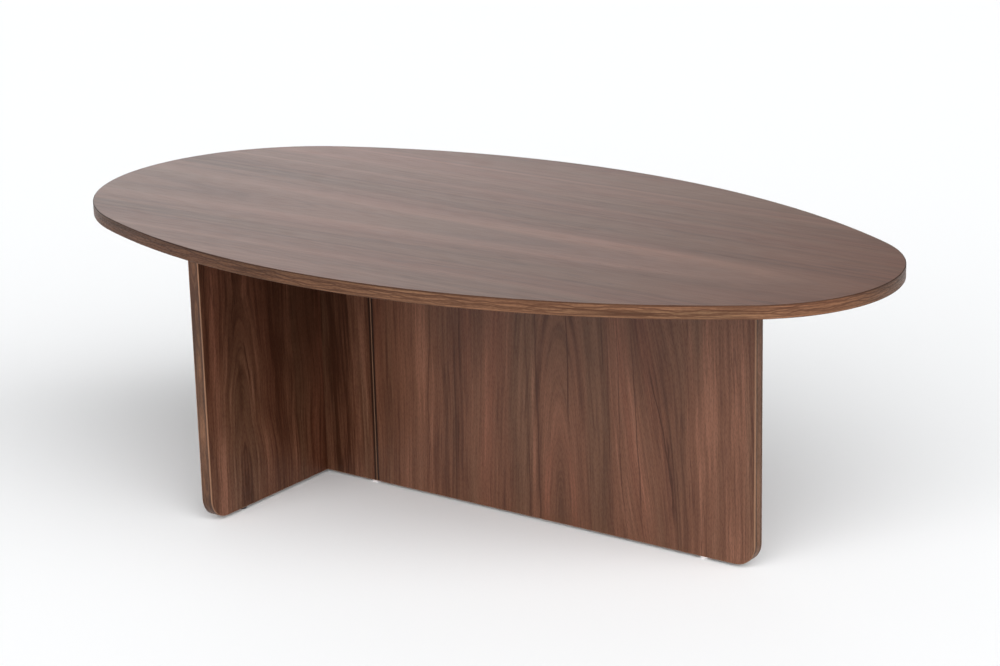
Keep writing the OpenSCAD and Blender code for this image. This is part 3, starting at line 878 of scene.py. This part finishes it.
def stub_front_marks_and_painted_light(place):
    """Marks of the front leaf: a dark line inside the border at the seam, a dark band edge with painted
    shadow of the seam's groove, and the border slightly rubbed, wear with a painted highlight. The leaf is
    painted paler towards the floor and darker up under the top: painted shade."""
    x = place[X]
    return {
        # Painted shadow of the seam's groove over a dark band edge, then the border's wear with a painted
        # highlight.
        "Line": between(x, -0.1918, -0.1889, *STUB_BORDER) * 1.6,
        "Rub_and_highlight": ease(x, *STUB_BORDER) * 0.4,
        # Painted shade: darker up under the top.
        "Light": ease(place[Z], 0.0, 0.27, 0.98, 0.76),
    }


panel_band("stub", X, (0, 0), (False, True), stub_marks_and_painted_light, 43.0, 0.2)
dress("stub_front_veneer", veneer(
    "walnut_stub_front", X, Z,
    {"Heart": -0.40, "Depth": 0.05, "Taper": 0.02, "Bend": 0.003, "Seed": 11.0},
    {"Contrast": 1.15, "Gloss": 0.38},
    streaks=[(-275, 0.45, 0.45), (-259, 0.42, 0.45), (-256, 0.22, 0.5), (-252, 0.38, 0.45), (-240, 0.44, 0.5),
             (-236, 0.26, 0.5), (-231, 0.50, 0.5), (-222, 0.66, 0.45), (-200, 0.62, 0.45), (-193, 0.40, 0.5),
             (-185, 0.42, 0.5)],
    veins=[
        # This wide faint vein darkens the upper corner by the crossbar: painted shade, drawn as dark
        # heartwood.
        (-0.256, 0.050, 0.750, 0.00, 0.006, 0.0300, 0.30),
        (-0.228, -0.200, 0.500, 0.00, 0.006, 0.0008, 0.7),
    ],
    edge=stub_front_marks_and_painted_light, shine=0.18,
))
dress("stub_rear_veneer", veneer(
    "walnut_stub_rear", X, Z,
    {"Heart": -0.10, "Depth": 0.05, "Taper": 0.02, "Bend": 0.004, "Wave": 4.0, "Seed": 12.0},
    {"Contrast": 0.95, "Gloss": 0.40, "Light": 1.15},
    streaks=[(-275, 0.50, 0.5), (-250, 0.58, 0.45), (-232, 0.36, 0.6), (-214, 0.56, 0.45), (-185, 0.46, 0.5)],
))

# Stem: the long board under the narrow end, butted to the stub at the visible seam. Its band runs down the
# seam end, along the lower edge, round the lower corner and up the free end.
SEAM_UP = 0.384


def stem_marks_and_painted_light(place):
    """The arris marks, but dark and not rubbed where the band stands up the seam: a dark band edge with
    painted shadow of the seam's groove.
    """
    marks_and_light = arris_marks_and_painted_light(place)
    # Painted shadow of the seam's groove over a dark band edge.
    seam = ease(place[U], SEAM_UP - SEAM_FADE, SEAM_UP, 1, 0)
    return {"Line": marks_and_light["Line"].most(seam * 1.8), "Rub_and_highlight": marks_and_light["Rub_and_highlight"] * (1.0 - seam), "Light": 0.82}


def stem_front_marks_and_painted_light(place):
    """Marks of the front leaf: a dark border at the seam, a dark band edge with painted shadow of the seam's
    groove, and a rubbed one at the free end, wear with a painted highlight. The leaf is painted slightly
    paler towards the floor and darker just under the top: painted shade."""
    x = place[X]
    return {
        # Painted shadow of the seam's groove over a dark band edge, then the free end's wear with a painted
        # highlight.
        "Line": ease(x, -0.1805, -0.1820) * 1.8,
        "Rub_and_highlight": ease(x, 0.4232, 0.4236),
        # Painted shade: slightly darker just under the top.
        "Light": ease(place[Z], 0.16, 0.28, 1.20, 1.12),
    }


panel_band("stem", X, (0, CORNER_R), (True, True), stem_marks_and_painted_light, 47.0, 0.18)
dress("stem_front_veneer", veneer(
    "walnut_stem_front", X, Z,
    {"Heart": 0.128, "Depth": 0.003, "Close": 0.04, "Rise": 0.11, "Taper": 0.02, "Bend": 0.005, "Seed": 13.0},
    {"Contrast": 0.70, "Gloss": 0.36},
    streaks=[(-185, 0.48, 0.50), (-158, 0.54, 0.55), (-150, 0.30, 0.5), (-140, 0.44, 0.5), (-128, 0.62, 0.60),
             (-92, 0.60, 0.60), (-84, 0.50, 0.5), (-48, 0.50, 0.5), (-36, 0.30, 0.75), (-22, 0.50, 0.55),
             (22, 0.46, 0.50), (31, 0.30, 0.5), (42, 0.50, 0.50), (70, 0.50, 0.50), (76, 0.26, 0.5),
             (84, 0.78, 0.60), (91, 0.22, 0.5), (101, 0.46, 0.48), (114, 0.36, 0.75), (140, 0.30, 0.80),
             (154, 0.42, 0.5), (205, 0.44, 0.50), (228, 0.68, 0.70), (240, 0.46, 0.5), (252, 0.68, 0.70),
             (264, 0.44, 0.5), (300, 0.50, 0.58), (330, 0.66, 0.62), (372, 0.66, 0.66), (395, 0.79, 0.66),
             (425, 0.73, 0.62)],
    veins=[
        (-0.089, 0.000, 0.300, 0.02, 0.006, 0.0012, 0.75),
        (0.091, -0.100, 0.500, 0.00, 0.006, 0.0014, 0.80),
        (0.076, -0.100, 0.500, 0.00, 0.006, 0.0010, 0.60),
        (0.142, 0.130, 0.330, -0.01, 0.004, 0.0015, 0.95),
        (0.207, 0.050, 0.330, 0.00, 0.004, 0.0010, 0.75),
        (0.222, 0.000, 0.340, 0.02, 0.008, 0.0012, 0.70),
        (0.241, 0.000, 0.340, 0.055, 0.010, 0.0014, 0.80),
        (0.303, 0.030, 0.280, -0.10, 0.008, 0.0018, 0.95),
        (0.301, 0.030, 0.170, -0.06, 0.020, 0.0024, 1.0),
    ],
    lean=(0.265, 0.080, 0.16, 0.15), edge=stem_front_marks_and_painted_light, shine=0.30,
))
dress("stem_rear_veneer", veneer(
    "walnut_stem_rear", X, Z,
    {"Heart": -0.02, "Depth": 0.004, "Close": 0.12, "Rise": 0.14, "Taper": 0.02, "Bend": 0.006, "Wave": 3.0,
     "Seed": 14.0},
    {"Contrast": 0.85, "Gloss": 0.38, "Light": 1.2},
    streaks=[(-185, 0.54, 0.45), (-150, 0.42, 0.6), (-118, 0.58, 0.45), (-84, 0.36, 0.6), (-60, 0.54, 0.45),
             (-10, 0.50, 0.5), (35, 0.56, 0.45), (66, 0.40, 0.6), (92, 0.62, 0.45), (140, 0.54, 0.5),
             (168, 0.36, 0.65), (200, 0.58, 0.45), (262, 0.48, 0.5), (296, 0.64, 0.45), (330, 0.42, 0.6),
             (372, 0.60, 0.45), (425, 0.54, 0.5)],
    veins=[
        (-0.083, 0.00, 0.30, 0.01, 0.006, 0.0012, 0.8),
        (0.067, 0.10, 0.40, -0.02, 0.006, 0.0014, 0.8),
        (0.170, -0.05, 0.33, 0.01, 0.010, 0.0016, 0.9),
        (0.332, 0.02, 0.28, -0.05, 0.008, 0.0014, 0.8),
    ],
))

# Glides: low plastic discs, each with a nail moulded in that is driven into a lower edge. Those of the stub
# and the stem are milky, and those of the crossbar are black.


def plain_finish(name, low, high, roughness, metallic=0.0, turns=400, relief=0.2):
    """A finish that varies softly between two colours, for plastic, plated metal and beech. turns is the
    noise's turns to the metre."""
    material, tree, skin = new_material(name)
    x, y, z = place_of(tree)
    shade = cloud(x * turns, y * turns, z * turns, 3, 0.6)
    feed(skin.inputs["Base Color"], blended(ease(shade, 0.3, 0.7), (*low, 1), (*high, 1)))
    feed(skin.inputs["Roughness"], roughness + (shade - 0.5) * 0.25)
    skin.inputs["Metallic"].default_value = metallic
    bumped(tree, skin, shade, relief, FINISH_DEPTH)
    return material


MILKY = plain_finish("milky_plastic", (0.60, 0.55, 0.54), (0.72, 0.67, 0.66), 0.35)
for node in ("stub_glide", "stem_glide"):
    dress(node, MILKY)
dress("crossbar_glides", plain_finish("black_plastic", (0.012, 0.012, 0.012), (0.030, 0.030, 0.030), 0.45))

# Fastenings: plated steel bolts, screws and nails, cast zinc cams and grooved beech dowels hold the boards
# together. Stick-on caps of walnut foil hide the cams and the screws' heads.
STEEL = plain_finish("plated_steel", (0.50, 0.50, 0.52), (0.68, 0.68, 0.70), 0.32, 1.0)
ZINC = plain_finish("cast_zinc", (0.42, 0.42, 0.44), (0.56, 0.56, 0.58), 0.5, 1.0, 700, 0.4)
BEECH = plain_finish("beech", (0.52, 0.34, 0.19), (0.68, 0.48, 0.29), 0.7, 0.0, 300, 0.4)
CAP_FOIL = veneer(
    "walnut_cap_foil", X, Z,
    {"Heart": 0.3, "Depth": 0.03, "Taper": 0.02, "Bend": 0.002, "Seed": 71.0},
    {"Contrast": 0.5, "Gloss": 0.45, "Light": 1.1},
)
for material, nodes in (
    (STEEL, ("glide_nails", "top_cam_bolts", "seam_cam_bolts", "stub_screws")),
    (ZINC, ("top_cams", "seam_cams")),
    (BEECH, ("top_dowels", "seam_dowels", "stub_dowels")),
    (CAP_FOIL, ("cam_caps", "screw_caps")),
):
    for node in nodes:
        dress(node, material)
